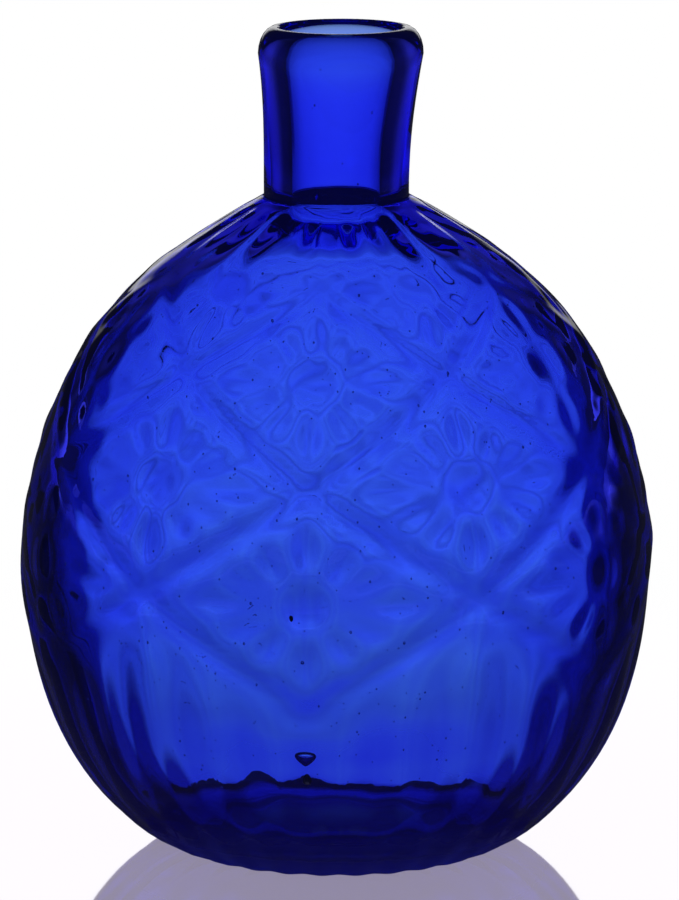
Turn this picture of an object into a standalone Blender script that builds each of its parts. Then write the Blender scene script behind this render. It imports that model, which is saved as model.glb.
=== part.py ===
"""Bud vase of pattern-moulded cobalt glass, standing on z = 0 with +Z up, in metres.

The vase is one blown bubble of glass: a slightly oval, globular body on a narrow oval
contact ring, a short round neck and a rolled lip. The mould left a net of raised diamonds
on the body, a twelve-petalled daisy in each, over upright flutes that run in under the foot.
The rod that held the vase while its lip was worked left a broken patch of its own glass
in the pushed-up base.

Angles are counted from the front, which faces -Y, towards +X.
"""
import math

import bmesh
import bpy
import numpy as np

# Overall form
HEIGHT = 0.130
BODY_WIDTH = 0.0985
BODY_DEPTH = 0.0906
BELLY_HEIGHT = 0.045
SHOULDER_RISE = 0.0592
LOWER_BULGE = 2.02
LOWER_TURN = 0.6
UPPER_BULGE = 1.96
ROUND_WIDTH = 0.026
OVAL_WIDTH = 0.050

# Foot and pushed-up base
FOOT_WIDTH = 0.047
FOOT_BAND = 0.0015
FOOT_FLAT_SHARE = 0.19
FLATTENED_HEIGHT = 0.03
KICK_UP = 0.0012
KICK_POWER = 5

# Neck and lip
NECK_LENGTH = 0.024
NECK_WIDTH = 0.0223
NECK_FLARE = 2.2
NECK_BLEND = 0.0058
NECK_LEAN = 0.0007
LIP_WIDTH = 0.0252
LIP_ROUND = 0.0026

# Hollow inside
BODY_WALL = 0.0036
SHOULDER_WALL = 0.004
BASE_WALL = 0.0048
FLOOR_WIDTH = 0.042
FLOOR_RISE = 0.0002
BORE_WIDTH = 0.0128
BORE_FLARE = 3.3
MOUTH_ROUND = 0.0011

# Moulded pattern
DIAMONDS_AROUND = 6
DIAMOND_ROWS = 5
PATTERN_TURN = math.radians(-5.2)
PATTERN_FOOT = 0.035
PATTERN_PITCH = 0.01645
DRAWN_WIDTH = 0.066
RIB_WIDTH = 0.0044
RIB_RISE = 0.0008
BOSS_WIDTH = 0.0076
BOSS_RISE = 0.0009
PETAL_RISE = 0.0006
FLUTES_PER_DIAMOND = 5
FLUTE_RISE = 0.0005

# Broken patch of glass in the base
SCAR_WIDTH = 0.0306
SCAR_DEPTH = 0.0005
SCAR_RAGGED = 0.0008
SCAR_ROUGH = 0.0002
SCAR_THIN_SHARE = 0.6
SEAT_GAP = 0.0003

# Shares and counts of the pattern's rings
BOSS_TOP_SHARE = 0.6
BOSS_SHOULDER_SHARE = 0.78
RIB_SHOULDER_SHARE = 0.72
PETAL_REACH_SHARES = (0.36, 0.72)
PETAL_CREST_SHARES = (0.9, 1.0)
FLUTE_FOOT_SHARE = 0.3
PETALS = 12
STEPS_PER_SIDE = FLUTES_PER_DIAMOND
COLUMNS = 2 * STEPS_PER_SIDE * DIAMONDS_AROUND
FLUTE_STEPS = 4
FLUTE_COLUMNS = FLUTE_STEPS * FLUTES_PER_DIAMOND * DIAMONDS_AROUND
FLUTE_ROWS = 10

# Counts of the turned parts
TURNED_COLUMNS = 30
NECK_ROWS = 5
ROUND_STEPS = 3
INSIDE_ROWS = 20
BASE_RINGS = 4
PROFILE_STEPS = 600
SCAR_COLUMNS = 24
SCAR_RINGS = 3

WELD = 0.000001
CREASE_ANGLE = math.radians(38)


def bulge(height, foot_width, belly_width, floor, roof):
    """Radius of the globular wall: a turned-under lower half and a nearly round upper half."""
    below = np.clip((BELLY_HEIGHT - height) / (BELLY_HEIGHT - floor), 0, 1)
    above = np.clip((height - BELLY_HEIGHT) / (roof - BELLY_HEIGHT), 0, 1)
    lower = foot_width + (belly_width - foot_width) * (1 - below ** LOWER_BULGE) ** LOWER_TURN
    upper = belly_width * (1 - above ** UPPER_BULGE) ** (1 / UPPER_BULGE)
    return np.where(height < BELLY_HEIGHT, lower, upper) / 2


def tube(height, waist_width, mouth_width, flare):
    """Radius of the neck: a waist at its base, flaring by a power towards the lip."""
    climb = np.clip((height - HEIGHT + NECK_LENGTH) / NECK_LENGTH, 0, 1)
    return (waist_width + (mouth_width - waist_width) * climb ** flare) / 2


def blended(first, second):
    """The larger of two radii, with a fillet where they are within the blend of each other."""
    near = np.maximum(NECK_BLEND - abs(first - second), 0)
    return np.maximum(first, second) + near ** 2 / (4 * NECK_BLEND)


def outer_radius(height):
    body = bulge(height, FOOT_WIDTH, BODY_WIDTH, 0, BELLY_HEIGHT + SHOULDER_RISE)
    return blended(body, tube(height, NECK_WIDTH, LIP_WIDTH, NECK_FLARE))


def inner_radius(height):
    mouth_width = LIP_WIDTH - 2 * LIP_ROUND - 2 * MOUTH_ROUND
    roof = BELLY_HEIGHT + SHOULDER_RISE - SHOULDER_WALL
    body = bulge(height, FLOOR_WIDTH, BODY_WIDTH - 2 * BODY_WALL, BASE_WALL, roof)
    return blended(body, tube(height, BORE_WIDTH, mouth_width, BORE_FLARE))


def dome(radius, rim_radius, rise):
    """Height of a low dome above its rim: flat in the middle, steep at the rim."""
    return rise * (1 - np.minimum(radius / rim_radius, 1) ** KICK_POWER)


def path_lengths(radii, heights):
    steps = np.hypot(np.diff(radii), np.diff(heights))
    return np.concatenate([[0], np.cumsum(steps)])


def smooth_step(value):
    value = np.clip(value, 0, 1)
    return value * value * (3 - 2 * value)


class Skin:
    """The outer wall as a table along its profile, from the contact ring to below the lip."""

    def __init__(self):
        quarter = np.linspace(0, math.pi / 2, PROFILE_STEPS)
        low = BELLY_HEIGHT * (1 - np.cos(quarter))
        high = np.linspace(BELLY_HEIGHT, HEIGHT - LIP_ROUND, PROFILE_STEPS)[1:]
        self.height = np.concatenate([low, high])
        self.radius = outer_radius(self.height)
        self.path = path_lengths(self.radius, self.height)
        rise = np.gradient(self.height, self.path)
        widening = np.gradient(self.radius, self.path)
        length = np.hypot(rise, widening)
        self.out = rise / length
        self.up = -widening / length
        shrink = self.shrink_at(self.radius)
        middle = (shrink[1:] + shrink[:-1]) / 2
        steps = np.diff(self.path) / (PATTERN_PITCH * middle)
        level = np.concatenate([[0], np.cumsum(steps)])
        self.level = level - np.interp(PATTERN_FOOT, self.height, level)

    def shrink_at(self, radius):
        """The pattern keeps its size on the body and shrinks with it where the neck was drawn."""
        return np.minimum(1, 2 * radius / DRAWN_WIDTH)

    def radius_at_level(self, level):
        return float(np.interp(level, self.level, self.radius))

    def path_at_level(self, level):
        return float(np.interp(level, self.level, self.path))

    def net_point(self, angle, level, rise):
        """A point of the pattern, whose rise shrinks with the pattern."""
        shrink = self.shrink_at(self.radius_at_level(level))
        return self.point(angle, self.path_at_level(level), rise * shrink)

    def point(self, angle, path, rise=0):
        """A point at an angle and a place along the profile, raised along the wall's normal."""
        radius = np.interp(path, self.path, self.radius) + rise * np.interp(path, self.path, self.out)
        height = np.interp(path, self.path, self.height) + rise * np.interp(path, self.path, self.up)
        return round_point(angle, radius, height)


def round_point(angle, radius, height):
    return (radius * math.sin(angle), -radius * math.cos(angle), height)


def ring(bm, angles, radius, height):
    return [bm.verts.new(round_point(angle, radius, height)) for angle in angles]


def even_angles(count):
    return [PATTERN_TURN + 2 * math.pi * step / count for step in range(count)]


def join_rings(bm, lower, upper):
    """Faces between two closed rings that start at one angle, with any two counts.

    Where both rings step together, the gap is cut from a point of the ring with more points,
    so that a petal's end comes to a point on the other ring.
    """
    low, high = 0, 0
    while low < len(lower) or high < len(upper):
        next_low = (low + 1) / len(lower)
        next_high = (high + 1) / len(upper)
        start, end = lower[low % len(lower)], upper[high % len(upper)]
        after_low, after_high = lower[(low + 1) % len(lower)], upper[(high + 1) % len(upper)]
        if math.isclose(next_low, next_high):
            if len(lower) < len(upper):
                bm.faces.new((start, after_low, end))
                bm.faces.new((end, after_low, after_high))
            else:
                bm.faces.new((start, after_low, after_high))
                bm.faces.new((start, after_high, end))
            low, high = low + 1, high + 1
        elif next_low < next_high:
            bm.faces.new((start, after_low, end))
            low += 1
        else:
            bm.faces.new((start, after_high, end))
            high += 1


def join_rows(bm, rows):
    for lower, upper in zip(rows, rows[1:]):
        join_rings(bm, lower, upper)


def close_ring(bm, rim, centre, facing_up):
    """A fan from a ring to the point in its middle."""
    for start, end in zip(rim, rim[1:] + rim[:1]):
        bm.faces.new((start, end, centre) if facing_up else (end, start, centre))


class Diamond:
    """One diamond of the net, in its own units: across runs over half its width, along over
    one pattern level, and the border is where their sizes add up to 1.

    rib is the share of the way from the border to the middle that half a rib takes up.
    """

    def __init__(self, bm, skin, centre_angle, centre_level):
        self.bm = bm
        self.skin = skin
        self.angle = centre_angle
        self.level = centre_level
        radius = skin.radius_at_level(centre_level)
        self.shrink = float(skin.shrink_at(radius))
        self.half_width = radius * math.pi / DIAMONDS_AROUND
        self.half_height = PATTERN_PITCH * self.shrink
        side = math.hypot(self.half_width, self.half_height)
        side_to_middle = self.half_width * self.half_height / side
        self.rib = RIB_WIDTH / 2 * self.shrink / side_to_middle

    def vertex(self, across, along, rise):
        angle = self.angle + across * math.pi / DIAMONDS_AROUND
        return self.bm.verts.new(self.skin.net_point(angle, self.level + along, rise))

    def border_share(self, turn):
        return 1 / (abs(math.cos(turn)) + abs(math.sin(turn)))

    def boss_share(self, turn):
        """A true circle in the diamond's stretched units."""
        stretch = math.hypot(math.cos(turn) * self.half_width, math.sin(turn) * self.half_height)
        return BOSS_WIDTH / 2 * self.shrink / stretch

    def turned_ring(self, count, share_at, rise_at):
        """A ring of points around the daisy's middle, at shares and rises given by direction."""
        points = []
        for step in range(count):
            turn = 2 * math.pi * step / count
            share = share_at(turn)
            points.append(self.vertex(share * math.cos(turn), share * math.sin(turn), rise_at(step)))
        return points

    def side_ring(self, share, rise):
        """A ring along the diamond's four sides, evenly stepped from corner to corner."""
        corners = [(1, 0), (0, 1), (-1, 0), (0, -1)]
        points = []
        for start, end in zip(corners, corners[1:] + corners[:1]):
            for step in range(STEPS_PER_SIDE):
                part = step / STEPS_PER_SIDE
                across = start[0] + (end[0] - start[0]) * part
                along = start[1] + (end[1] - start[1]) * part
                points.append(self.vertex(across * share, along * share, rise))
        return points

    def petal_ring(self, reach, crest):
        """A ring through all petals: on their raised middles and in the grooves between them."""
        def share_at(turn):
            near = self.boss_share(turn)
            far = self.border_share(turn) * (1 - self.rib)
            return near + (far - near) * reach

        def rise_at(step):
            return PETAL_RISE * crest if step % 2 == 0 else 0

        return self.turned_ring(2 * PETALS, share_at, rise_at)

    def build(self):
        boss_top = self.turned_ring(
            PETALS,
            lambda turn: self.boss_share(turn) * BOSS_TOP_SHARE,
            lambda step: BOSS_RISE * BOSS_SHOULDER_SHARE,
        )
        boss_edge = self.turned_ring(PETALS, self.boss_share, lambda step: 0)
        petals = [self.petal_ring(*shares) for shares in zip(PETAL_REACH_SHARES, PETAL_CREST_SHARES)]
        field_edge = self.turned_ring(
            PETALS,
            lambda turn: self.border_share(turn) * (1 - self.rib),
            lambda step: 0,
        )
        rib_side = self.side_ring(1 - self.rib / 2, RIB_RISE * RIB_SHOULDER_SHARE)
        rib_crest = self.side_ring(1, RIB_RISE)
        close_ring(self.bm, boss_top, self.vertex(0, 0, BOSS_RISE), True)
        join_rings(self.bm, boss_edge, boss_top)
        rings = [boss_edge] + petals + [field_edge, rib_side, rib_crest]
        join_rows(self.bm, rings[::-1])


def build_net(bm, skin):
    """Rows of diamonds, every other row set half a diamond round."""
    for row in range(DIAMOND_ROWS):
        for place in range(DIAMONDS_AROUND):
            turn = (place + row % 2 / 2) * 2 * math.pi / DIAMONDS_AROUND
            Diamond(bm, skin, PATTERN_TURN + turn, row + 1).build()


def zigzag(column):
    """How far the net's edge has climbed from a diamond's point, in pattern levels."""
    step = column % (2 * STEPS_PER_SIDE)
    return min(step, 2 * STEPS_PER_SIDE - step) / STEPS_PER_SIDE


def net_edge(bm, skin, levels, outward):
    """The outer half of the rib along the net's zigzag edge: rows at its crest, side and foot.

    outward is 1 where the plain glass lies above the edge and -1 where it lies below.
    """
    rib = Diamond(bm, skin, PATTERN_TURN, round(sum(levels) / len(levels))).rib
    shares = [0, rib / 2, rib]
    rises = [RIB_RISE, RIB_RISE * RIB_SHOULDER_SHARE, 0]
    rows = []
    for share, rise in zip(shares, rises):
        places = zip(even_angles(COLUMNS), levels)
        points = [skin.net_point(angle, level + outward * share, rise) for angle, level in places]
        rows.append([bm.verts.new(point) for point in points])
    return rows, rib


def flute_rise(column):
    """Flutes stand out as rounded waves, one in every few columns."""
    return FLUTE_RISE * (1 + math.cos(2 * math.pi * column / FLUTE_STEPS)) / 2


def build_flutes(bm, skin):
    """The fluted lower body, from the net's zigzag edge down to the contact ring."""
    rows, rib = net_edge(bm, skin, [zigzag(column) for column in range(COLUMNS)], -1)
    angles = even_angles(FLUTE_COLUMNS)
    for row in range(1, FLUTE_ROWS):
        share = row / FLUTE_ROWS
        fade = 1 - (1 - FLUTE_FOOT_SHARE) * share
        points = []
        for column, angle in enumerate(angles):
            top = skin.path_at_level(zigzag(column * COLUMNS / FLUTE_COLUMNS) - rib)
            points.append(bm.verts.new(skin.point(angle, top * (1 - share), flute_rise(column) * fade)))
        rows.append(points)
    foot = []
    for column, angle in enumerate(angles):
        radius = FOOT_WIDTH / 2 + flute_rise(column) * FLUTE_FOOT_SHARE
        foot.append(bm.verts.new(round_point(angle, radius, 0)))
    rows.append(foot)
    join_rows(bm, rows[::-1])
    return foot


def build_base(bm, foot):
    """The flat contact ring and the pushed-up base inside it."""
    rim_radius = FOOT_WIDTH / 2 - FOOT_BAND
    rings = [foot, ring(bm, even_angles(COLUMNS), rim_radius, 0)]
    turned = even_angles(TURNED_COLUMNS)
    for step in range(1, BASE_RINGS):
        radius = rim_radius * (1 - step / BASE_RINGS)
        rings.append(ring(bm, turned, radius, dome(radius, rim_radius, KICK_UP)))
    join_rows(bm, rings[::-1])
    close_ring(bm, rings[-1], bm.verts.new((0, 0, KICK_UP)), False)


def build_neck(bm, skin):
    """The plain glass above the net, up the neck to below the lip."""
    top_level = DIAMOND_ROWS + 1
    levels = [top_level - zigzag(column) for column in range(COLUMNS)]
    rows, rib = net_edge(bm, skin, levels, 1)
    start = skin.path_at_level(top_level + 2 * rib)
    length = skin.path[-1] - start
    for row in range(NECK_ROWS + 1):
        path = start + length * row / NECK_ROWS
        rows.append([bm.verts.new(skin.point(angle, path)) for angle in even_angles(TURNED_COLUMNS)])
    join_rows(bm, rows)
    return rows[-1]


def rounded_edge(centre_radius, size, start_turn, end_turn):
    """Radii and heights round an edge of the lip, between two turns from the outward level."""
    turns = np.linspace(start_turn, end_turn, ROUND_STEPS + 1)[1:]
    radii = centre_radius + size * np.cos(turns)
    heights = HEIGHT - size + size * np.sin(turns)
    return list(zip(radii, heights))


def inside_profile():
    """Radii and heights down the bore, the hollow body and its floor, evenly stepped."""
    heights = np.linspace(HEIGHT - MOUTH_ROUND, BASE_WALL, PROFILE_STEPS)
    radii = inner_radius(heights)
    path = path_lengths(radii, heights)
    steps = np.linspace(0, path[-1], INSIDE_ROWS + 1)[1:]
    wall = list(zip(np.interp(steps, path, radii), np.interp(steps, path, heights)))
    floor_radius = FLOOR_WIDTH / 2
    floor = []
    for step in range(1, BASE_RINGS):
        radius = floor_radius * (1 - step / BASE_RINGS)
        floor.append((radius, BASE_WALL + dome(radius, floor_radius, FLOOR_RISE)))
    return wall + floor


def build_lip_and_inside(bm, neck_top):
    """The rounded lip, then the inner wall down to the middle of the floor."""
    crest_radius = LIP_WIDTH / 2 - LIP_ROUND
    profile = rounded_edge(crest_radius, LIP_ROUND, 0, math.pi / 2)
    profile += rounded_edge(crest_radius, MOUTH_ROUND, math.pi / 2, math.pi)
    profile += inside_profile()
    turned = even_angles(TURNED_COLUMNS)
    rings = [neck_top] + [ring(bm, turned, radius, height) for radius, height in profile]
    join_rows(bm, rings)
    close_ring(bm, rings[-1], bm.verts.new((0, 0, BASE_WALL + FLOOR_RISE)), True)


def make_oval(bm):
    """The body is flatter from front to back than its neck, its foot is flatter still, and the
    neck leans a little."""
    flat_share = 1 - BODY_DEPTH / BODY_WIDTH
    for vertex in bm.verts:
        radius = math.hypot(vertex.co.x, vertex.co.y)
        spread = (2 * radius - ROUND_WIDTH) / (OVAL_WIDTH - ROUND_WIDTH)
        climb = (vertex.co.z - HEIGHT + NECK_LENGTH) / NECK_LENGTH
        descent = 1 - vertex.co.z / FLATTENED_HEIGHT
        vertex.co.y *= 1 - flat_share * float(smooth_step(spread))
        vertex.co.y *= 1 - FOOT_FLAT_SHARE * float(smooth_step(descent))
        vertex.co.x += NECK_LEAN * float(smooth_step(climb))


def finish_object(bm, name, material):
    bmesh.ops.remove_doubles(bm, verts=bm.verts, dist=WELD)
    make_oval(bm)
    bmesh.ops.recalc_face_normals(bm, faces=bm.faces)
    mesh = bpy.data.meshes.new(name)
    bm.to_mesh(mesh)
    bm.free()
    mesh.shade_smooth()
    mesh.set_sharp_from_angle(angle=CREASE_ANGLE)
    mesh.materials.append(material)
    thing = bpy.data.objects.new(name, mesh)
    bpy.context.collection.objects.link(thing)
    return thing


def glass(name, color, roughness):
    material = bpy.data.materials.new(name)
    material.use_nodes = True
    shader = material.node_tree.nodes["Principled BSDF"]
    shader.inputs["Base Color"].default_value = color
    shader.inputs["Roughness"].default_value = roughness
    shader.inputs["Metallic"].default_value = 0
    shader.inputs["Transmission Weight"].default_value = 1
    return material


def build_vessel():
    bm = bmesh.new()
    skin = Skin()
    build_net(bm, skin)
    foot = build_flutes(bm, skin)
    build_base(bm, foot)
    neck_top = build_neck(bm, skin)
    build_lip_and_inside(bm, neck_top)
    return finish_object(bm, "blown_vessel", glass("cobalt_glass", (0.01, 0.04, 0.5, 1), 0.02))


def scar_outline(angle):
    """The patch's ragged edge: a circle with two slow waves and a quick one."""
    waves = math.cos(2 * angle + 1) + math.cos(3 * angle) / 2 + math.cos(7 * angle) / 4
    return SCAR_WIDTH / 2 + SCAR_RAGGED * waves / 2


def scar_depth(angle, share):
    """The patch's thickness at a share of the way to its edge: rough, and thinner outwards."""
    step = SCAR_ROUGH * share * (math.cos(5 * angle) + math.cos(9 * angle + 2)) / 2
    return (SCAR_DEPTH + step) * (1 - SCAR_THIN_SHARE * share ** 2)


def build_scar():
    bm = bmesh.new()
    rim_radius = FOOT_WIDTH / 2 - FOOT_BAND
    angles = even_angles(SCAR_COLUMNS)
    top, bottom = [], []
    for step in range(SCAR_RINGS):
        share = 1 - step / SCAR_RINGS
        upper, lower = [], []
        for angle in angles:
            radius = scar_outline(angle) * share
            seat = dome(radius, rim_radius, KICK_UP) - SEAT_GAP
            upper.append(bm.verts.new(round_point(angle, radius, seat)))
            depth = scar_depth(angle, share)
            lower.append(bm.verts.new(round_point(angle, radius - depth / 2, seat - depth)))
        top.append(upper)
        bottom.append(lower)
    join_rows(bm, bottom[::-1] + top)
    middle = KICK_UP - SEAT_GAP
    close_ring(bm, top[-1], bm.verts.new((0, 0, middle)), True)
    close_ring(bm, bottom[-1], bm.verts.new((0, 0, middle - SCAR_DEPTH)), False)
    return finish_object(bm, "pontil_scar", glass("pontil_glass", (0.02, 0.02, 0.3, 1), 0.25))


def clear_scene():
    for thing in list(bpy.data.objects):
        bpy.data.objects.remove(thing, do_unlink=True)


def main():
    clear_scene()
    build_vessel()
    build_scar()


main()
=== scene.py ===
import math

import bpy
import numpy as np
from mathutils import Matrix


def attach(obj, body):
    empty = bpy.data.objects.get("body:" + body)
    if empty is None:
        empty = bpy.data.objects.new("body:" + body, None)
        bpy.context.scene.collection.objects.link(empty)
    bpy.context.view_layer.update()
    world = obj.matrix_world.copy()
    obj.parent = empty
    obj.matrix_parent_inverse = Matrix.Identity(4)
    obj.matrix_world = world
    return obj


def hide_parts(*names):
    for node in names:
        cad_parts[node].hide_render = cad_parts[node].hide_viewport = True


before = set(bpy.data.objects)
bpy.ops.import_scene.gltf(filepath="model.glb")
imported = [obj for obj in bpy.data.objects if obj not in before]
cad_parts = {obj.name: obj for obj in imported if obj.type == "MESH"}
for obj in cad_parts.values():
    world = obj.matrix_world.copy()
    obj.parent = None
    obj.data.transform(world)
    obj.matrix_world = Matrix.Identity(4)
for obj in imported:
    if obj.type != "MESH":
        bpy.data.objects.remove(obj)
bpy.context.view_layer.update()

# Sizes of the vase, in metres
HEIGHT = 0.130
BODY_WIDTH = 0.0985
BODY_DEPTH = 0.0901
BELLY_HEIGHT = 0.045
SHOULDER_RISE = 0.0592
LOWER_BULGE = 2.02
LOWER_TURN = 0.6
UPPER_BULGE = 1.96
ROUND_WIDTH = 0.026
OVAL_WIDTH = 0.050
FOOT_WIDTH = 0.047
FOOT_BAND = 0.0015
FOOT_FLAT_SHARE = 0.19
FLATTENED_HEIGHT = 0.03
NECK_LENGTH = 0.024
NECK_WIDTH = 0.0223
NECK_FLARE = 2.2
NECK_BLEND = 0.0115
NECK_LEAN = 0.0007
LIP_WIDTH = 0.0252
LIP_ROUND = 0.0026
LIP_DROP = 0.0040

# Sizes of the hollow
BODY_WALL = 0.0036
SHOULDER_WALL = 0.0040
BASE_WALL = 0.0058
INSIDE_TURN = 0.46
INSIDE_BLEND = 0.0100
FLOOR_RISE = 0.0002
FLOOR_POWER = 5
FLOOR_WIDTH = 0.0455
LOWER_WALL = 0.0012
LOWER_WALL_HEIGHT = 0.018
BORE_WIDTH = 0.0126
BORE_FLARE = 1.7
MOUTH_ROUND = 0.0006

# The pushed-up base and the broken patch of glass in it
KICK_UP = 0.0012
STEP_RADIUS = 0.0196
STEP_WIDTH = 0.0046
RING_GAP = 0.0001
RING_EASE = 0.0015
SEAT_GAP = 0.0003
SCAR_WIDTH = 0.0306
SCAR_DEPTH = 0.0005
SCAR_RAGGED = 0.0008
SCAR_ROUGH = 0.0002
SCAR_GRAIN = 900
SCAR_THIN_SHARE = 0.6
SCAR_LEAST = 0.00005
SCAR_CLEARANCE = 0.0001

# The moulded pattern: a level is half a diamond up the wall, a side is half a diamond round it
SIDE = math.radians(30)
PATTERN_TURN = math.radians(-5.2)
PATTERN_FOOT = 0.035
PATTERN_PITCH = 0.01645
PATTERN_LEVELS = 6
NET_EDGE = 0.05
DRAWN_WIDTH = 0.066
RIB_WIDTH = 0.0046
RIB_RISE = 0.00095
BOSS_WIDTH = 0.0076
BOSS_RISE = 0.0009
PETALS = 12
PETAL_RISE = 0.0007
PETAL_PEAK = 0.8
PETAL_FILL = 0.95
PETAL_LEAST = 0.05
PETAL_END = 0.5
FLUTES = 30
FLUTE_RISE = 0.0010
GROOVE_POWER = 2.5
FINE_GROOVE_SHARE = 0.3
GROOVE_START = 0.5
GROOVE_TOP = 3
FOOT_LOSS = 0.7
FOOT_LEVELS = 3

# Where the pattern is weaker or stronger: a share, from a level up, over some levels
FAINT_LOSS, FAINT_LEVEL, FAINT_SPAN = 0.6, 2.6, 1.8
LAST_LEVEL, LAST_SPAN = 5.2, 0.7
LOW_GAIN, LOW_LEVEL, LOW_SPAN = 0.6, 2.0, 0.7

# Softness of the pattern: widths of the blur in rows and columns, and where each one holds
SHARP_BLUR = (1.0, 1.5)
HIGH_BLUR = (2.6, 2.5)
HIGH_LEVEL, HIGH_SPAN = 3.4, 1.6
SIDE_BLUR = (1.4, 2.1)
SIDE_START, SIDE_SPAN, SIDE_LOSS = 0.62, 0.25, 0.1
TIP_SHARE = 0.7
TIP_TOP, TIP_TOP_SPAN = 0.4, 0.3
TIP_FOOT, TIP_FOOT_SPAN = 0.9, 0.4

# Uneven faces left by blowing, and the folds drawn under the neck
OUTER_WAVE = 0.00003
OUTER_SINK = 1.6
OUTER_FOOT = 3
INNER_WAVE = 0.0001
INNER_EASE = 0.03
INNER_WIDE = 0.02
FOLD_RISE = 0.00020
FOLD_START, FOLD_SPAN = 3.7, 1.4
FOLD_END, FOLD_END_SPAN = 5.9, 0.5

# Flaws in the front wall: name, place, then width, height, depth and taper
BUBBLES = [
    ("heart_bubble", (-0.0045, -0.0412, 0.0274), (0.0032, 0.0025, 0.0020, 0.55)),
]
STONES = [
    ("stone", (-0.0063, -0.0433, 0.0495), (0.0006, 0.0009, 0.0005, 0.2)),
    ("drip_stone", (-0.0043, -0.0399, 0.0237), (0.0012, 0.0021, 0.0008, -0.2)),
]
BUBBLE_ROWS = 18
BUBBLE_COLUMNS = 28
TAPER_EASE = 0.3

# Seed bubbles: their number, sizes with how common each is, and where they lie
SEED_COUNT = 1500
SEED_SIZES = [0.00009, 0.00013, 0.00018]
SEED_SHARES = [0.72, 0.24, 0.04]
SEED_STRETCH = 1.4
NECK_SEED_CHANCE = 0.015
NECK_SEEDS = (0.106, 0.126)
BODY_SEEDS = (0.012, 0.096)
SEED_DEPTHS = (0.25, 0.75)
SEED_ROWS = 5
SEED_COLUMNS = 6

# Fineness of the meshes
COLUMNS = 480
FLUTE_ROWS = 16
NET_ROWS = 108
NET_MARGIN = 0.3
NECK_ROWS = 14
LIP_ROWS = 12
BORE_ROWS = 5
THROAT_ROWS = 13
HOLLOW_ROWS = 19
THROAT_START = 0.015
THROAT_END = 0.045
FLOOR_ROWS = 10
PATCH_ROWS = 4
STEP_ROWS = 6
RING_ROWS = 5
TABLE_STEPS = 4000
SCAR_COLUMNS = 96
SCAR_UPPER_ROWS = 14
SCAR_LOWER_ROWS = 22

# The photograph's camera
CAMERA_DISTANCE = 0.520
CAMERA_HEIGHT = 0.1907
CAMERA_SIDE = 0.00046
CAMERA_TILT = math.radians(13.71)
FOCAL_LENGTH = 137.06
SENSOR_WIDTH = 36

# Colours and finish of the glass, of its painted glow and shade, and of the pieces in it
GLASS_TINTS = [(0.40, 0.97, 0.98, 1), (0.46, 1, 1, 1)]
NECK_TINT = (0.34, 0.68, 1, 1)
# The next colour is painted shade, laid on the glass where its faces turn edge-on
EDGE_SHADE_COLOR = (0.01, 0.015, 0.2, 1)
DEPTH_COLOR = (0.22, 0.0, 0.982, 1)
DEPTH_DENSITY = 305.0
# A painted glow in the glass, standing in for light scattered in it: brighter blue low down, darker
# higher up
HAZE_GLOW_COLORS = [(0.13, 0.09, 0.8, 1), (0.03, 0.04, 0.32, 1)]
HAZE_GLOW_STRENGTH = 0.013
# The next colour is painted shade: a dark dull sheet laid in the crease at the far edge of the foot
CREASE_SHADE_COLOR = (0.01, 0.012, 0.06, 1)
CREASE_SHADE_COVER = 0.95
PATCH_TINTS = [(0.8, 0.1, 0.5, 1), (0.95, 0.26, 0.9, 1)]
PALE_TINT = (0.75, 0.7, 0.98, 1)
STONE_COLORS = [(0.004, 0.004, 0.02, 1), (0.02, 0.02, 0.06, 1)]
GLASS_IOR = 1.5
AIR_IOR = 0.667
PATCH_ROUGHNESS = 0.5
WORN_ROUGHNESS = 0.32

# Where a finish, a painted shade or the painted glow comes in or goes out: from and to, in metres
# up the glass
NECK_TINT_START = (0.100, 0.107)
NECK_TINT_END = (0.119, 0.126)
SHOULDER_HEIGHTS = (0.05, 0.085)
THROAT_SHADE_START = (0.090, 0.098)
THROAT_SHADE_END = (0.108, 0.113)
LIP_SHADE_START = (0.122, 0.127)
HAZE_GLOW_HEIGHTS = (0.008, 0.045)
WORN_HEIGHTS = (0.0040, 0.0085)

# The painted shade where a face turns away: its start and span, and how much of it is cleared
SHADE_STARTS = (0.42, 0.62)
SHADE_SPAN = 0.09
THROAT_CLEARED = 0.9
LIP_CLEARED = 0.7

# The painted shade in a crease at the far edge of the foot, on its oval, which is this much less
# deep than wide
FOOT_OVAL = 0.776
CREASE_RADIUS = 0.0242
CREASE_SWELL = 0.0051
CREASE_RAGGED = 0.004
CREASE_BAND = (-0.0052, -0.0022)
CREASE_BACK = (0.002, 0.007)
CREASE_LOW = 0.0045
CREASE_HIGH = 0.0076

# The dull patch of the base and the pale rim of the broken patch, in metres
PATCH_RIM = (0.0125, 0.0155)
PALE_RIM = (0.0105, 0.0150)
PATCH_RAGGED = 0.004
PATCH_TOP = 0.0032

# Scales of the noises
DRIFT_SCALE = 60
RAGGED_SCALE = 260
LAYER_SCALE = 220
GRAIN_SCALE = 4000

# Table and light: greys by height and by side, as seen through the glass
TABLE_HALF_WIDTH = 6.0
BAND_STRENGTH = 1.1
BAND_BY_HEIGHT = [(0.0, 1.0), (0.12, 0.94), (0.2, 0.74), (0.3, 0.65), (0.45, 0.48), (0.7, 0.1)]
BAND_BY_SIDE = [(0.0, 1.0), (0.12, 0.97), (0.28, 0.8), (0.45, 0.36), (0.6, 0.12), (1.0, 0.04)]
SOFT_LIGHT = 0.8


# Curves
def smooth_step(value):
    """3v^2 - 2v^3, with v held between 0 and 1."""
    value = np.clip(value, 0, 1)
    return value * value * (3 - 2 * value)


def bump(value):
    """A rounded ridge: the squared cosine of a share from -1 to 1, and 0 outside it."""
    return np.cos(np.clip(value, -1, 1) * math.pi / 2) ** 2


def zigzag(value):
    """Distance to the nearest even number."""
    return np.abs((value + 1) % 2 - 1)


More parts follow.
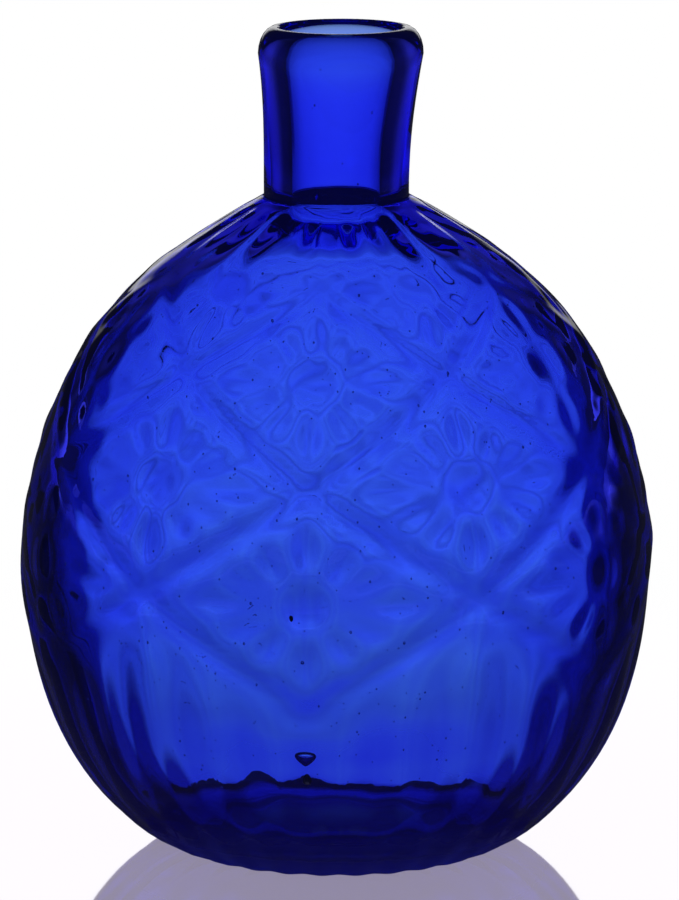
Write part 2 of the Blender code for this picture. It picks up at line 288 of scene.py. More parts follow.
def waves(angle, path, seed, count, finest, longest_path):
    """A smooth random field: the sum of cosines of n turns round the vase and of a phase along
    the path, with n up to the finest, over the root of their count."""
    chance = np.random.default_rng(seed)
    total = np.zeros(np.broadcast(angle, path).shape)
    for _ in range(count):
        around = chance.integers(0, finest + 1)
        along = chance.uniform(-1, 1) * 2 * math.pi / longest_path
        start = chance.uniform(0, 2 * math.pi)
        total += np.cos(around * angle + along * path + start)
    return total / math.sqrt(count)


def softened(rise, rows, columns):
    """A blur by a bell of weights, exp(-n^2 / 2 size^2), down the rows and round the columns."""
    for size, axis in ((rows, 0), (columns, 1)):
        reach = int(3 * size) + 1
        weights = np.exp(-np.arange(-reach, reach + 1) ** 2 / (2 * size ** 2))
        weights /= weights.sum()
        if axis == 0:
            padded = np.pad(rise, ((reach, reach), (0, 0)), "edge")
            rise = sum(w * padded[i:i + len(rise)] for i, w in enumerate(weights))
        else:
            rise = sum(w * np.roll(rise, i - reach, 1) for i, w in enumerate(weights))
    return rise


def path_lengths(radii, heights):
    """Length of the path up to each of its points."""
    steps = np.hypot(np.diff(radii), np.diff(heights))
    return np.concatenate([[0], np.cumsum(steps)])


# Section of the vessel
def bulge(height, foot_width, belly_width, floor, roof, turn):
    """Radius of the globular wall: half of foot + (belly - foot)(1 - below^LOWER_BULGE)^turn
    under the belly, and of belly(1 - above^UPPER_BULGE)^(1 / UPPER_BULGE) over it, where below
    and above run from 0 at the belly to 1 at the floor and the roof."""
    below = np.clip((BELLY_HEIGHT - height) / (BELLY_HEIGHT - floor), 0, 1)
    above = np.clip((height - BELLY_HEIGHT) / (roof - BELLY_HEIGHT), 0, 1)
    lower = foot_width + (belly_width - foot_width) * (1 - below ** LOWER_BULGE) ** turn
    upper = belly_width * (1 - above ** UPPER_BULGE) ** (1 / UPPER_BULGE)
    return np.where(height < BELLY_HEIGHT, lower, upper) / 2


def tube(height, waist_width, mouth_width, flare, top):
    """Radius of the neck: half of waist + (mouth - waist) climb^flare, where the climb runs from
    0 at the foot of the neck to 1 at the top."""
    start = HEIGHT - NECK_LENGTH
    climb = np.clip((height - start) / (top - start), 0, 1)
    return (waist_width + (mouth_width - waist_width) * climb ** flare) / 2


def blended(first, second, blend):
    """The larger radius, plus the square of how far they are within the blend, over 4 blends."""
    near = np.maximum(blend - abs(first - second), 0)
    return np.maximum(first, second) + near ** 2 / (4 * blend)


def outer_radius(height):
    """The outer bulge and the outside of the neck, blended."""
    roof = BELLY_HEIGHT + SHOULDER_RISE
    body = bulge(height, FOOT_WIDTH, BODY_WIDTH, 0, roof, LOWER_TURN)
    neck = tube(height, NECK_WIDTH, LIP_WIDTH, NECK_FLARE, HEIGHT - LIP_DROP)
    return blended(body, neck, NECK_BLEND)


def inner_radius(height):
    """The inner bulge, less the thicker lower wall, and the bore, blended."""
    mouth_width = LIP_WIDTH - 2 * LIP_ROUND - 2 * MOUTH_ROUND
    roof = BELLY_HEIGHT + SHOULDER_RISE - SHOULDER_WALL
    body = bulge(height, FLOOR_WIDTH, BODY_WIDTH - 2 * BODY_WALL, BASE_WALL, roof, INSIDE_TURN)
    body = body - LOWER_WALL * smooth_step((BELLY_HEIGHT - height) / LOWER_WALL_HEIGHT)
    bore = tube(height, BORE_WIDTH, mouth_width, BORE_FLARE, HEIGHT - MOUTH_ROUND)
    return blended(body, bore, INSIDE_BLEND)


def floor_height(radius, edge_radius):
    """Height of the floor inside: the base's thickness, plus the rise times 1 less the share of
    the way out to the power FLOOR_POWER."""
    share = np.minimum(radius / edge_radius, 1)
    return BASE_WALL + FLOOR_RISE * (1 - share ** FLOOR_POWER)


def underside(radius):
    """Height of the base's lower face: a hair above the table, and the kick-up's height inside
    the soft step round the broken patch."""
    ring = RING_GAP * smooth_step((FOOT_WIDTH / 2 - FOOT_BAND - radius) / RING_EASE)
    return ring + (KICK_UP - RING_GAP) * smooth_step((STEP_RADIUS - radius) / STEP_WIDTH)


def outer_path():
    """The outer wall from the contact ring to below the lip, as fine as the tables need."""
    quarter = np.linspace(0, math.pi / 2, TABLE_STEPS)
    low = BELLY_HEIGHT * (1 - np.cos(quarter))
    high = np.linspace(BELLY_HEIGHT, HEIGHT - LIP_DROP, TABLE_STEPS)[1:]
    height = np.concatenate([low, high])
    return outer_radius(height), height


def inside_path():
    """The inner wall from the mouth down to the floor, in few steps, the finest in the throat,
    where the bore widens."""
    heights = np.linspace(HEIGHT - MOUTH_ROUND, BASE_WALL, TABLE_STEPS)
    radii = inner_radius(heights)
    path = path_lengths(radii, heights)
    steps = np.concatenate([
        np.linspace(0, THROAT_START, BORE_ROWS),
        np.linspace(THROAT_START, THROAT_END, THROAT_ROWS)[1:],
        np.linspace(THROAT_END, path[-1], HOLLOW_ROWS)[1:],
    ])
    return np.interp(steps, path, radii), np.interp(steps, path, heights)


def rounded_edge(centre_radius, size, drop, start, end):
    """A quarter of an ellipse at the top: centre + size cos(turn), and the height less
    drop(1 - sin(turn))."""
    turns = np.linspace(start, end, LIP_ROWS // 2 + 1)[1:]
    return centre_radius + size * np.cos(turns), HEIGHT - drop + drop * np.sin(turns)


def pattern_levels(radii, heights):
    """Pattern level along the wall: the sum of steps over the pitch, which shrinks with the
    radius where the neck was drawn."""
    path = path_lengths(radii, heights)
    shrink = np.minimum(1, 2 * radii / DRAWN_WIDTH)
    middle = (shrink[1:] + shrink[:-1]) / 2
    level = np.concatenate([[0], np.cumsum(np.diff(path) / (PATTERN_PITCH * middle))])
    return level - np.interp(PATTERN_FOOT, heights, level)


def wall_rows():
    """Places of the wall's rows along its path: even steps in the flutes and on the neck,
    and even pattern levels in the net, so that the rows close up as the pattern shrinks."""
    radii, heights = outer_path()
    path = path_lengths(radii, heights)
    level = pattern_levels(radii, heights)
    net = np.interp(np.linspace(-NET_MARGIN, PATTERN_LEVELS + NET_MARGIN, NET_ROWS), level, path)
    flutes = np.linspace(0, net[0], FLUTE_ROWS + 1)[:-1]
    neck = np.linspace(net[-1], path[-1], NECK_ROWS + 1)[1:]
    return np.concatenate([flutes, net, neck])


def vessel_section():
    """One closed section of the glass, from the middle of its base over the lip to the
    middle of its floor, with the rows of the outer wall marked."""
    rim_radius = FOOT_WIDTH / 2 - FOOT_BAND
    middle_radius = STEP_RADIUS - STEP_WIDTH
    base_radius = np.concatenate([
        np.linspace(0, middle_radius, PATCH_ROWS),
        np.linspace(middle_radius, STEP_RADIUS, STEP_ROWS)[1:],
        np.linspace(STEP_RADIUS, rim_radius, RING_ROWS)[1:],
    ])
    fine_radius, fine_height = outer_path()
    fine_path = path_lengths(fine_radius, fine_height)
    place = wall_rows()
    wall_radius = np.interp(place, fine_path, fine_radius)
    wall_height = np.interp(place, fine_path, fine_height)
    crest = LIP_WIDTH / 2 - LIP_ROUND
    lip_radius, lip_height = rounded_edge(crest, LIP_ROUND, LIP_DROP, 0, math.pi / 2)
    mouth_radius, mouth_height = rounded_edge(crest, MOUTH_ROUND, MOUTH_ROUND, math.pi / 2, math.pi)
    inside_radius, inside_height = inside_path()
    floor_edge = FLOOR_WIDTH / 2 - LOWER_WALL
    floor_radius = np.linspace(floor_edge, 0, FLOOR_ROWS)
    radius = np.concatenate([
        base_radius,
        wall_radius,
        lip_radius,
        mouth_radius,
        inside_radius[1:],
        floor_radius[1:],
    ])
    height = np.concatenate([
        underside(base_radius),
        wall_height,
        lip_height,
        mouth_height,
        inside_height[1:],
        floor_height(floor_radius, floor_edge)[1:],
    ])
    first = len(base_radius)
    return radius, height, slice(first, first + len(place))


# Surfaces
def relief(angle, level, radius, shrink):
    """Rise of the moulded pattern above the plain wall.

    a counts sides round the vase and b levels up it. Ribs run where a + b or a - b is even, as
    rounded ridges. A daisy sits where both are odd: a boss that is a half-ellipsoid, and petals
    that are rounded ridges as wide as a sine of the way out. The whole is times the shrink
    squared. Flutes are cut into the wall below the net's zigzag edge, where the cut is the
    share of the way to the next flute to the power GROOVE_POWER.
    """
    a = (angle - PATTERN_TURN) / SIDE
    b = level
    half_width = radius * SIDE
    half_height = PATTERN_PITCH * shrink
    side_to_middle = half_width * half_height / np.hypot(half_width, half_height)
    rib_share = RIB_WIDTH / 2 * shrink / side_to_middle
    first = bump(zigzag(a + b) / rib_share)
    second = bump(zigzag(a - b) / rib_share)
    ribs = first + second - first * second
    inside = smooth_step(1 + (b - zigzag(a) + rib_share) / NET_EDGE)
    inside = inside * smooth_step(1 + (PATTERN_LEVELS - zigzag(a) - b + rib_share) / NET_EDGE)
    across = ((a + b) % 2 - 1 + (a - b) % 2 - 1) / 2
    along = ((a + b) % 2 - (a - b) % 2) / 2
    turn = np.arctan2(along, across)
    share = np.hypot(across, along)
    stretch = np.hypot(np.cos(turn) * half_width, np.sin(turn) * half_height)
    near = BOSS_WIDTH / 2 * shrink / stretch
    far = (1 - rib_share) / (np.abs(np.cos(turn)) + np.abs(np.sin(turn)))
    boss = np.sqrt(np.clip(1 - (share / near) ** 2, 0, 1))
    reach = (share - near) / (far - near)
    leaf = np.sin(math.pi * np.clip(reach, 0, 1) ** PETAL_PEAK)
    swing = (turn / (2 * math.pi / PETALS) + 0.5) % 1 - 0.5
    petal = bump(2 * swing / np.maximum(PETAL_FILL * leaf, PETAL_LEAST)) * leaf ** PETAL_END
    flute = (angle - PATTERN_TURN) * FLUTES / math.pi
    fine = zigzag(2 * flute) ** GROOVE_POWER
    groove = zigzag(flute) ** GROOVE_POWER + FINE_GROOVE_SHARE * fine
    below = smooth_step((zigzag(a) - rib_share - b) / GROOVE_START)
    foot = 1 - FOOT_LOSS * smooth_step(-b / FOOT_LEVELS)
    faint = 1 - FAINT_LOSS * smooth_step((b - FAINT_LEVEL) / FAINT_SPAN)
    gone = 1 - smooth_step((b - LAST_LEVEL) / LAST_SPAN)
    low = 1 + LOW_GAIN * smooth_step((LOW_LEVEL - b) / LOW_SPAN)
    daisy = BOSS_RISE * boss + PETAL_RISE * petal * (reach > 0) * (reach < 1)
    raised = (RIB_RISE * ribs + low * daisy) * inside * shrink ** 2 * faint * gone
    return raised - FLUTE_RISE * groove * below * foot * (b < GROOVE_TOP)


def softened_relief(rise, angle, level):
    """The relief after blowing: sharp on the front, softer up the wall by the level, at the two
    sides by the size of the angle's sine, and at the net's lower tips."""
    high = smooth_step((level - HIGH_LEVEL) / HIGH_SPAN)
    side = smooth_step((np.abs(np.sin(angle)) - SIDE_START) / SIDE_SPAN)
    tip = smooth_step((TIP_TOP - level) / TIP_TOP_SPAN)
    tip = tip * smooth_step((level + TIP_FOOT) / TIP_FOOT_SPAN)
    sharp = softened(rise, *SHARP_BLUR)
    rise = sharp + (softened(rise, *HIGH_BLUR) - sharp) * high
    share = np.maximum(side * (1 - high), TIP_SHARE * tip)
    rise = rise + (softened(rise, *SIDE_BLUR) - rise) * share
    return rise * (1 - SIDE_LOSS * side)


def blown_drift(angle, level, path):
    """Uneven rise of the outer wall: fine waves in the body, and folds under the neck that run
    straight down it."""
    drift = OUTER_WAVE * waves(angle, path, seed=3, count=24, finest=14, longest_path=0.018)
    drift = (drift - OUTER_SINK * OUTER_WAVE) * smooth_step(level + OUTER_FOOT)
    drift = drift * smooth_step(2 * (PATTERN_LEVELS + 1 - level))
    fold = smooth_step((level - FOLD_START) / FOLD_SPAN)
    fold = fold * smooth_step((FOLD_END - level) / FOLD_END_SPAN)
    folds = waves(angle, 0 * path, seed=17, count=10, finest=34, longest_path=1)
    return drift + FOLD_RISE * fold * folds


def make_oval(points):
    """Flattens the body from front to back, the more so the wider it is and the lower down,
    and leans the neck to the right."""
    radius = np.hypot(points[..., 0], points[..., 1])
    spread = (2 * radius - ROUND_WIDTH) / (OVAL_WIDTH - ROUND_WIDTH)
    climb = (points[..., 2] - HEIGHT + NECK_LENGTH) / NECK_LENGTH
    descent = 1 - points[..., 2] / FLATTENED_HEIGHT
    points[..., 1] *= 1 - (1 - BODY_DEPTH / BODY_WIDTH) * smooth_step(spread)
    points[..., 1] *= 1 - FOOT_FLAT_SHARE * smooth_step(descent)
    points[..., 0] += NECK_LEAN * smooth_step(climb)
    return points


def vessel_points():
    """The section turned round the axis, x = r sin(angle) and y = -r cos(angle), with the outer
    wall moved along its normal by the relief and the inner wall swollen by waves."""
    radius, height, wall = vessel_section()
    angle = np.arange(COLUMNS) * 2 * math.pi / COLUMNS
    fine_radius, fine_height = outer_path()
    fine_path = path_lengths(fine_radius, fine_height)
    fine_level = pattern_levels(fine_radius, fine_height)
    rise_along = np.gradient(fine_height, fine_path)
    widening = np.gradient(fine_radius, fine_path)
    length = np.hypot(rise_along, widening)
    path = wall_rows()
    out = np.interp(path, fine_path, rise_along / length)[:, None]
    up = np.interp(path, fine_path, -widening / length)[:, None]
    level = np.interp(path, fine_path, fine_level)[:, None]
    wall_radius = radius[wall][:, None]
    shrink = np.minimum(1, 2 * wall_radius / DRAWN_WIDTH)
    rise = relief(angle, level, wall_radius, shrink)
    rise = softened_relief(rise, angle, level) + blown_drift(angle, level, path[:, None])
    all_radius = np.repeat(radius[:, None], COLUMNS, 1)
    all_height = np.repeat(height[:, None], COLUMNS, 1)
    all_radius[wall] += rise * out
    all_height[wall] += rise * up
    hollow = slice(wall.stop + LIP_ROWS, len(radius) - FLOOR_ROWS)
    depth = (HEIGHT - height[hollow])[:, None]
    swell = INNER_WAVE * waves(angle, depth, seed=8, count=24, finest=9, longest_path=0.024)
    swell = swell * smooth_step(depth / INNER_EASE)
    all_radius[hollow] += swell * smooth_step(all_radius[hollow] / INNER_WIDE)
    all_height[wall] = np.maximum(all_height[wall], 0)
    x = all_radius * np.sin(angle)
    y = -all_radius * np.cos(angle)
    return make_oval(np.stack([x, y, all_height], -1))


def scar_points():
    """The broken patch: a ragged disc whose upper face follows the pushed-up base and whose
    lower face stands down from it by the depth and a rough field of waves."""
    angle = np.arange(SCAR_COLUMNS) * 2 * math.pi / SCAR_COLUMNS
    edge = waves(angle, 0, seed=5, count=9, finest=9, longest_path=1)
    ragged = SCAR_WIDTH / 2 + SCAR_RAGGED / 3 * edge
    outwards = np.linspace(0, 1, SCAR_UPPER_ROWS)
    inwards = np.linspace(1, 0, SCAR_LOWER_ROWS)
    share = np.concatenate([outwards, inwards])[:, None]
    radius = share * ragged
    upper = np.arange(len(share))[:, None] < SCAR_UPPER_ROWS
    seat = underside(np.minimum(radius, STEP_RADIUS - STEP_WIDTH)) - SEAT_GAP
    x, y = radius * np.sin(angle), -radius * np.cos(angle)
    grain = waves(3 * angle, radius * SCAR_GRAIN, seed=11, count=14, finest=4, longest_path=2.0)
    grain = grain * share
    depth = (SCAR_DEPTH + SCAR_ROUGH / 2 * grain) * (1 - SCAR_THIN_SHARE * share ** 2)
    height = np.where(upper, seat, seat - np.clip(depth, SCAR_LEAST, seat - SCAR_CLEARANCE))
    points = np.stack([x, y, height], -1)
    return make_oval(points)[::-1]


def flaw_points(centre, size):
    """A closed drop in the wall: circles stacked from its lower to its upper pole, as wide as
    the sine of the turn, made narrower below by the taper, and flattened along the radius."""
    width, height, depth, taper = size
    angle = math.atan2(centre[0], -centre[1])
    turn = np.linspace(0, math.pi, BUBBLE_ROWS)[:, None]
    around = np.arange(BUBBLE_COLUMNS) * 2 * math.pi / BUBBLE_COLUMNS
    share = np.sin(turn) * (1 - taper * np.cos(turn)) / (1 + TAPER_EASE * taper)
    across = share * np.cos(around) * width / 2
    outwards = share * np.sin(around) * depth / 2
    up = -np.cos(turn) * height / 2 * np.ones(BUBBLE_COLUMNS)
    x = centre[0] + across * math.cos(angle) + outwards * math.sin(angle)
    y = centre[1] + across * math.sin(angle) - outwards * math.cos(angle)
    return np.stack([x, y, centre[2] + up], -1)[:, ::-1]


def seed_centres():
    """Centres and sizes of the seed bubbles, drawn at random through the wall."""
    chance = np.random.default_rng(21)
    angle = chance.uniform(0, 2 * math.pi, SEED_COUNT)
    in_neck = chance.uniform(0, 1, SEED_COUNT) > 1 - NECK_SEED_CHANCE
    neck_height = chance.uniform(*NECK_SEEDS, SEED_COUNT)
    body_height = chance.uniform(*BODY_SEEDS, SEED_COUNT)
    height = np.where(in_neck, neck_height, body_height)
    share = chance.uniform(*SEED_DEPTHS, SEED_COUNT)
    size = chance.choice(SEED_SIZES, SEED_COUNT, p=SEED_SHARES)
    radius = outer_radius(height) * (1 - share) + inner_radius(height) * share
    centre = np.stack([radius * np.sin(angle), -radius * np.cos(angle), height], -1)
    return make_oval(centre), size


def seed_ball():
    """A ball of a few faces: sin(turn) cos(around), sin(turn) sin(around) and cos(turn) times
    the stretch."""
    turn = np.linspace(math.pi, 0, SEED_ROWS)
    around = np.arange(SEED_COLUMNS) * 2 * math.pi / SEED_COLUMNS
    return np.stack([
        np.outer(np.sin(turn), np.cos(around)),
        np.outer(np.sin(turn), np.sin(around)),
        np.outer(np.cos(turn), np.ones(SEED_COLUMNS)) * SEED_STRETCH,
    ], -1)


# Meshes
def closed_vertices(points):
    """The grid's points in order, with each of its first and last rows drawn to one pole."""
    return np.concatenate([points[:1, 0], points[1:-1].reshape(-1, 3), points[-1:, 0]])


def closed_faces(rows, columns):
    """Faces of such a grid: a ring of triangles at each pole, and four-sided ones between."""
    number = np.arange((rows - 2) * columns).reshape(rows - 2, columns) + 1
    after = np.roll(number, -1, 1)
    last = (rows - 2) * columns + 1
    low = np.stack([np.zeros(columns, int), after[0], number[0]], -1)
    middle = np.stack([number[:-1], after[:-1], after[1:], number[1:]], -1).reshape(-1, 4)
    high = np.stack([np.full(columns, last), number[-1], after[-1]], -1)
    return low, middle, high


def smooth_piece(name, vertices, groups):
    """A piece with these vertices and groups of faces, shaded smooth."""
    mesh = bpy.data.meshes.new(name)
    faces = sum((group.tolist() for group in groups), [])
    mesh.from_pydata(vertices.tolist(), [], faces)
    mesh.shade_smooth()
    piece = bpy.data.objects.new(name, mesh)
    bpy.context.collection.objects.link(piece)
    return piece


def grid_piece(name, points):
    """A closed grid of rows by columns, whose first and last rows are poles."""
    return smooth_piece(name, closed_vertices(points), closed_faces(*points.shape[:2]))


def seed_piece(name):
    """The ball at every centre, times its size, as one mesh."""
    centre, size = seed_centres()
    ball = seed_ball()
    one = closed_vertices(ball)
    vertices = (centre[:, None] + size[:, None, None] * one).reshape(-1, 3)
    first = (np.arange(SEED_COUNT) * len(one))[:, None, None]
    groups = closed_faces(*ball.shape[:2])
    faces = [(first + group).reshape(-1, group.shape[1]) for group in groups]
    return smooth_piece(name, vertices, faces)


# Shader nodes
class Field:
    """A shader value that takes part in sums: each operator adds its Math node."""

    def __init__(self, tree, socket):
        self.tree = tree
        self.socket = socket

    def math(self, operation, *others):
        return self.tree.node("ShaderNodeMath", {"operation": operation}, [self, *others])

    def __add__(self, other):
        return self.math("ADD", other)

    def __mul__(self, other):
        return self.math("MULTIPLY", other)

    def __sub__(self, other):
        return self.math("SUBTRACT", other)

    def __rsub__(self, other):
        return self.tree.node("ShaderNodeMath", {"operation": "SUBTRACT"}, [other, self])

    def __pow__(self, other):
        return self.math("POWER", other)

    __radd__ = __add__
    __rmul__ = __mul__

    def part(self, axis):
        return self.tree.node("ShaderNodeSeparateXYZ", None, [self], output=axis)

    def evenly(self, start, end, low=0.0, high=1.0):
        """Runs from low to high as the value runs from start to end, and stays there outside."""
        return self.tree.node("ShaderNodeMapRange", None, [self, start, end, low, high])

    def gently(self, start, end, low=0.0, high=1.0):
        """The same, with a smooth start and end."""
        settings = {"interpolation_type": "SMOOTHSTEP"}
        return self.tree.node("ShaderNodeMapRange", settings, [self, start, end, low, high])


class Tree:
    """A node tree: node makes any node, and the other methods call it for the usual ones."""

    def __init__(self, owner):
        owner.use_nodes = True
        self.nodes = owner.node_tree.nodes
        self.links = owner.node_tree.links
        self.nodes.clear()

    def node(self, kind, settings=None, inputs=None, output=0):
        made = self.nodes.new(kind)
        for name, value in (settings or {}).items():
            if name == "stops":
                points = made.color_ramp.elements
                points[0].position, points[0].color = value[0]
                points[-1].position, points[-1].color = value[-1]
                for position, color in value[1:-1]:
                    points.new(position).color = color
            else:
                setattr(made, name, value)
        pairs = inputs.items() if isinstance(inputs, dict) else enumerate(inputs or [])
        for name, value in pairs:
            if isinstance(value, Field):
                self.links.new(value.socket, made.inputs[name])
            elif value is not None:
                made.inputs[name].default_value = value
        return Field(self, made.outputs[output]) if len(made.outputs) else made

    def place(self):
        return self.node("ShaderNodeTexCoord", output="Object")

    def ray(self, kind):
        return self.node("ShaderNodeLightPath", output=kind)

    def noise(self, place, scale, detail):
        settings = {"Vector": place, "Scale": scale, "Detail": detail}
        return self.node("ShaderNodeTexNoise", None, settings)

    def scaled(self, place, factors):
        return self.node("ShaderNodeVectorMath", {"operation": "MULTIPLY"}, [place, factors])

    def length(self, place):
        return self.node("ShaderNodeVectorMath", {"operation": "LENGTH"}, [place], output="Value")

    def tint(self, share, first, second):
        inputs = {"Factor": share, 6: first, 7: second}
        return self.node("ShaderNodeMix", {"data_type": "RGBA"}, inputs, output=2)

    def greys(self, value, pairs):
        """A ramp of greys: pairs of position and brightness."""
        stops = [(position, (grey, grey, grey, 1)) for position, grey in pairs]
        return self.node("ShaderNodeValToRGB", {"stops": stops}, [value])

    def mixed(self, share, first, second):
        return self.node("ShaderNodeMixShader", None, [share, first, second])

    def principled(self, inputs):
        return self.node("ShaderNodeBsdfPrincipled", None, inputs)

    def surface(self, shader, volume=None):
        self.node("ShaderNodeOutputMaterial", None, {"Surface": shader, "Volume": volume})


# Glass, air and stone
def body_tint(tree, place, height):
    """Tint of the glass where light passes its face: a slow drift between two blues, and a
    deeper blue in the neck."""
    drift = tree.noise(place, DRIFT_SCALE, 3)
    neck = height.gently(*NECK_TINT_START) * height.gently(*NECK_TINT_END, 1.0, 0.0)
    return tree.tint(neck, tree.tint(drift, *GLASS_TINTS), NECK_TINT)


def painted_edge_shade(tree, height):
    """Share of the painted shade that comes in where the face turns away: later on the shoulder,
    and little of it in the throat and at the lip."""
    facing = tree.node("ShaderNodeLayerWeight", None, {"Blend": 0.5}, output="Facing")
    start = height.gently(*SHOULDER_HEIGHTS, *SHADE_STARTS)
    painted_shade = facing.gently(start, start + SHADE_SPAN)
    throat = height.gently(*THROAT_SHADE_START, 0.0, THROAT_CLEARED)
    throat = throat * height.gently(*THROAT_SHADE_END, 1.0, 0.0)
    lip = height.gently(*LIP_SHADE_START, 0.0, LIP_CLEARED)
    return painted_shade * (1 - throat) * (1 - lip)


def crease_painted_shade(tree, place, height):
    """Share of the painted shade in the crease at the far edge of the foot: a band inside the
    crease, whose radius on the oval is a constant, plus a swell by the squared share of the way
    to the side, plus a ragged noise."""
    across = place.part("X")
    along = place.part("Y")
    deep = along * (1 / FOOT_OVAL)
    radius = (across * across + deep * deep) ** 0.5
    ripple = tree.noise(place, RAGGED_SCALE, 5)
    ragged = (ripple - 0.5) * CREASE_RAGGED
    crease = CREASE_RADIUS + CREASE_SWELL * across * across * (radius ** -2) + ragged
    line = (radius - crease).evenly(*CREASE_BAND) * radius.math("LESS_THAN", crease)
    line = line * height.math("GREATER_THAN", CREASE_LOW) * along.evenly(*CREASE_BACK)
    return line * height.math("LESS_THAN", CREASE_HIGH)


def underside_roughness(tree, place, height):
    """Roughness of the glass: dull over the ragged patch on level faces of the base, and worn
    towards the foot."""
    ripple = tree.noise(place, RAGGED_SCALE, 2)
    away = tree.length(tree.scaled(place, (1, 1, 0)))
    normal = tree.node("ShaderNodeNewGeometry", output="True Normal")
    level = normal.part("Z").math("ABSOLUTE").math("GREATER_THAN", 0.5)
    patch = (away + (ripple - 0.5) * PATCH_RAGGED).evenly(*PATCH_RIM, 1.0, 0.0)
    patch = patch * height.math("LESS_THAN", PATCH_TOP) * level
    worn = height.gently(*WORN_HEIGHTS, WORN_ROUGHNESS, 0.0)
    return (patch * PATCH_ROUGHNESS).math("MAXIMUM", worn)


def cobalt_glass():
    """Deep blue glass that absorbs light by its depth, with painted edge shade, a weak painted glow
    and a painted crease shade.
    """
    material = bpy.data.materials.new("cobalt_glass")
    tree = Tree(material)
    place = tree.place()
    height = place.part("Z")
    # The base colour is darkened by painted shade where the faces turn edge-on
    painted_shade = painted_edge_shade(tree, height)
    glass = tree.principled({
        "Base Color": tree.tint(painted_shade, body_tint(tree, place, height), EDGE_SHADE_COLOR),
        "Roughness": underside_roughness(tree, place, height),
        "IOR": GLASS_IOR,
        "Transmission Weight": 1.0,
        # The emission is a painted glow that stands in for light scattered in the glass
        "Emission Color": tree.tint(height.gently(*HAZE_GLOW_HEIGHTS), *HAZE_GLOW_COLORS),
        "Emission Strength": HAZE_GLOW_STRENGTH,
    })
    # A dark dull sheet, mixed in as painted shade in the crease at the far edge of the foot
    fold = tree.principled({"Base Color": CREASE_SHADE_COLOR, "Roughness": 0.8})
    shader = tree.mixed(crease_painted_shade(tree, place, height) * CREASE_SHADE_COVER, glass, fold)
    settings = {"Color": DEPTH_COLOR, "Density": DEPTH_DENSITY}
    tree.surface(shader, tree.node("ShaderNodeVolumeAbsorption", None, settings))
    return material


def pontil_glass():
    """Broken violet glass in thin layers, paler towards its ragged rim."""
    material = bpy.data.materials.new("pontil_glass")
    tree = Tree(material)
    place = tree.place()
    grain = tree.noise(tree.scaled(place, (1, 4, 1)), LAYER_SCALE, 5)
    away = tree.length(tree.scaled(place, (1, 1.3, 0)))
    rim = (away + (grain - 0.5) * PATCH_RAGGED).gently(*PALE_RIM)
    shader = tree.principled({
        "Base Color": tree.tint(rim, tree.tint(grain, *PATCH_TINTS), PALE_TINT),
        "Roughness": grain * 0.4 + 0.2,
        "IOR": GLASS_IOR,
        "Transmission Weight": 1.0,
    })
    tree.surface(shader)
    return material


def air_bubble():
    """Clear air inside the glass: the index is that of air over that of glass."""
    material = bpy.data.materials.new("air_bubble")
    tree = Tree(material)
    shader = tree.principled({
        "Base Color": (1, 1, 1, 1),
        "Roughness": 0.0,
        "IOR": AIR_IOR,
        "Transmission Weight": 1.0,
    })
    tree.surface(shader)
    return material


def dark_stone():
    """A dull, almost black grain that did not melt."""
    material = bpy.data.materials.new("dark_stone")
    tree = Tree(material)
    grain = tree.noise(tree.place(), GRAIN_SCALE, 2)
    shader = tree.principled({
        "Base Color": tree.tint(grain, *STONE_COLORS),
        "Roughness": 0.9,
        "Specular IOR Level": 0.05,
    })
    tree.surface(shader)
    return material


# Stage
def studio_world():
    """White light all round. What passes through the glass sees a bright band at the height of
    the table's edge, darker above, below, at the sides and towards the camera, and darker
    after a reflection inside the glass. Clear reflections see the back wall alone."""
    world = bpy.data.worlds.new("studio")
    bpy.context.scene.world = world
    tree = Tree(world)
    place = tree.node("ShaderNodeTexCoord", output="Generated")
    across = place.part("X").math("ABSOLUTE")
    along = place.part("Y")
    height = place.part("Z")
    away = height.math("ABSOLUTE")
    band = BAND_STRENGTH * tree.greys(away, BAND_BY_HEIGHT) * tree.greys(across, BAND_BY_SIDE)
    band = band * along.evenly(-0.1, 0.4, 0.12, 1.0)
    reflected = tree.ray("Is Reflection Ray")
    through = tree.ray("Transmission Depth").math("MINIMUM", 1.0)
    inner = (tree.ray("Glossy Depth") - reflected).math("MINIMUM", 1.0)
    loss = away.evenly(0.26, 0.42, 0.55, 0.1)
    seen = band * (1 - loss * (inner * through))
    again = (tree.ray("Glossy Depth") - 1).math("MAXIMUM", 0.0).math("MINIMUM", 1.0)
    clear = tree.ray("Is Singular Ray").math("MAXIMUM", again) * reflected * (1 - through)
    wall = along.gently(0.90, 0.98) * height.gently(0.0, 0.05) * (1 - again)
    outside = 1 - clear * (1 - wall) * 0.99
    inputs = {"Factor": through, 2: outside, 3: seen}
    strength = tree.node("ShaderNodeMix", {"data_type": "FLOAT"}, inputs)
    diffuse = tree.ray("Is Diffuse Ray")
    strength = strength * (1 - diffuse) + diffuse * SOFT_LIGHT
    inputs = {"Color": (1, 1, 1, 1), "Strength": strength}
    light = tree.node("ShaderNodeBackground", None, inputs)
    tree.node("ShaderNodeOutputWorld", None, {"Surface": light})


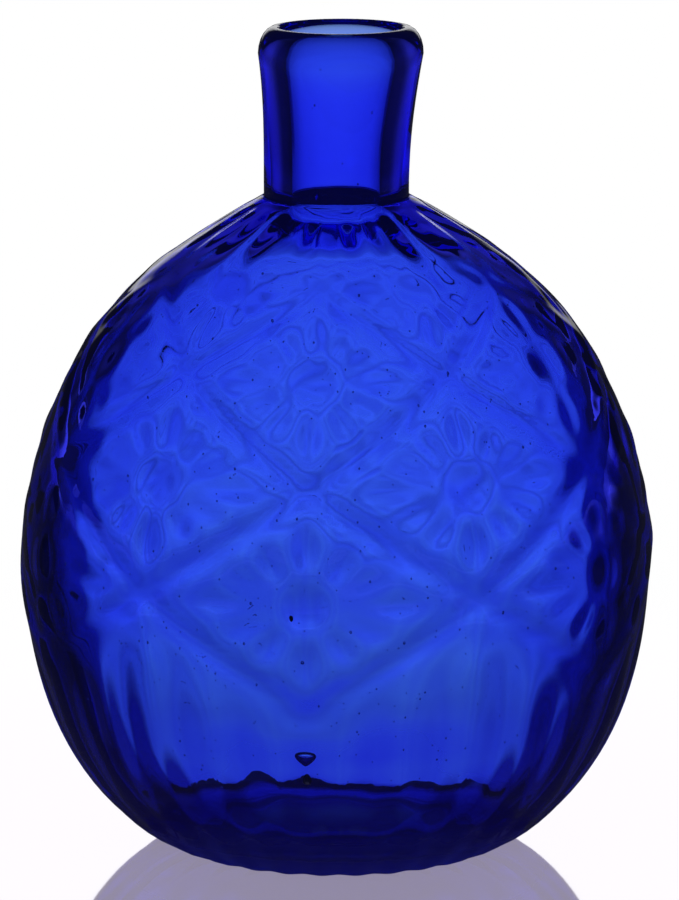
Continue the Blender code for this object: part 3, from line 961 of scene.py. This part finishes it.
def table_white():
    """Glossy white near the vase and plain white from there on. Seen through the glass it glows,
    most of all under the vase, and a dark shade fades out round it."""
    material = bpy.data.materials.new("white_table")
    tree = Tree(material)
    away = tree.length(tree.place())
    camera = tree.ray("Is Camera Ray")
    passing = tree.ray("Is Transmission Ray")
    through = passing * (1 - tree.ray("Glossy Depth").math("MINIMUM", 1.0))
    near = away.gently(0.05, 0.16, 1.0, 0.0)
    under = away.gently(0.025, 0.06, 0.8, 0.3)
    fading = away.evenly(0.03, 0.22, 0.30, 0.0)
    far = passing * away.gently(0.5, 1.3)
    matt = tree.node("ShaderNodeBsdfDiffuse", None, {"Color": (0.95, 0.95, 0.96, 1)})
    gloss = {"Color": (1, 1, 1, 1), "Roughness": 0.05}
    shine = tree.node("ShaderNodeBsdfAnisotropic", None, gloss)
    glow = tree.node("ShaderNodeEmission", None, {"Color": (0.95, 0.85, 1.1, 1), "Strength": 1.1})
    shade = tree.node("ShaderNodeBsdfDiffuse", None, {"Color": (0.01, 0.01, 0.02, 1)})
    white = tree.node("ShaderNodeEmission", None, {"Color": (1, 1, 1, 1), "Strength": 1.04})
    glossy = tree.mixed(0.99 - camera * 0.02, matt, shine)
    glowing = tree.mixed(camera * 0.26 + through * under, glossy, glow)
    dimmed = tree.mixed(through * fading, glowing, shade)
    plain = tree.mixed(0.16, white, matt)
    tree.surface(tree.mixed(camera * (1 - near) + far, dimmed, plain))
    return material


def build_table():
    mesh = bpy.data.meshes.new("table")
    size = TABLE_HALF_WIDTH
    corners = [(-size, -size, 0), (size, -size, 0), (size, size, 0), (-size, size, 0)]
    mesh.from_pydata(corners, [], [(0, 1, 2, 3)])
    table = bpy.data.objects.new("table", mesh)
    bpy.context.collection.objects.link(table)
    mesh.materials.append(table_white())


def build_camera():
    lens = bpy.data.cameras.new("camera")
    lens.lens = FOCAL_LENGTH
    lens.sensor_width = SENSOR_WIDTH
    camera = bpy.data.objects.new("camera", lens)
    camera.location = (CAMERA_SIDE, -CAMERA_DISTANCE, CAMERA_HEIGHT)
    camera.rotation_euler = (math.pi / 2 - CAMERA_TILT, 0, 0)
    bpy.context.collection.objects.link(camera)
    bpy.context.scene.camera = camera


build_camera()
build_table()
studio_world()
bpy.context.scene.view_settings.view_transform = "Standard"

vessel = grid_piece("glass_vessel", vessel_points())
vessel.data.materials.append(cobalt_glass())
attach(vessel, "root")
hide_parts("blown_vessel")

scar = grid_piece("broken_patch", scar_points())
scar.data.materials.append(pontil_glass())
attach(scar, "root")
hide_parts("pontil_scar")

seeds = seed_piece("seed_bubbles")
seeds.data.materials.append(air_bubble())
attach(seeds, "root")

for name, centre, size in BUBBLES:
    bubble = grid_piece(name, flaw_points(centre, size))
    bubble.data.materials.append(air_bubble())
    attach(bubble, "root")

stone_glass = dark_stone()
for name, centre, size in STONES:
    stone = grid_piece(name, flaw_points(centre, size))
    stone.data.materials.append(stone_glass)
    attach(stone, "root")
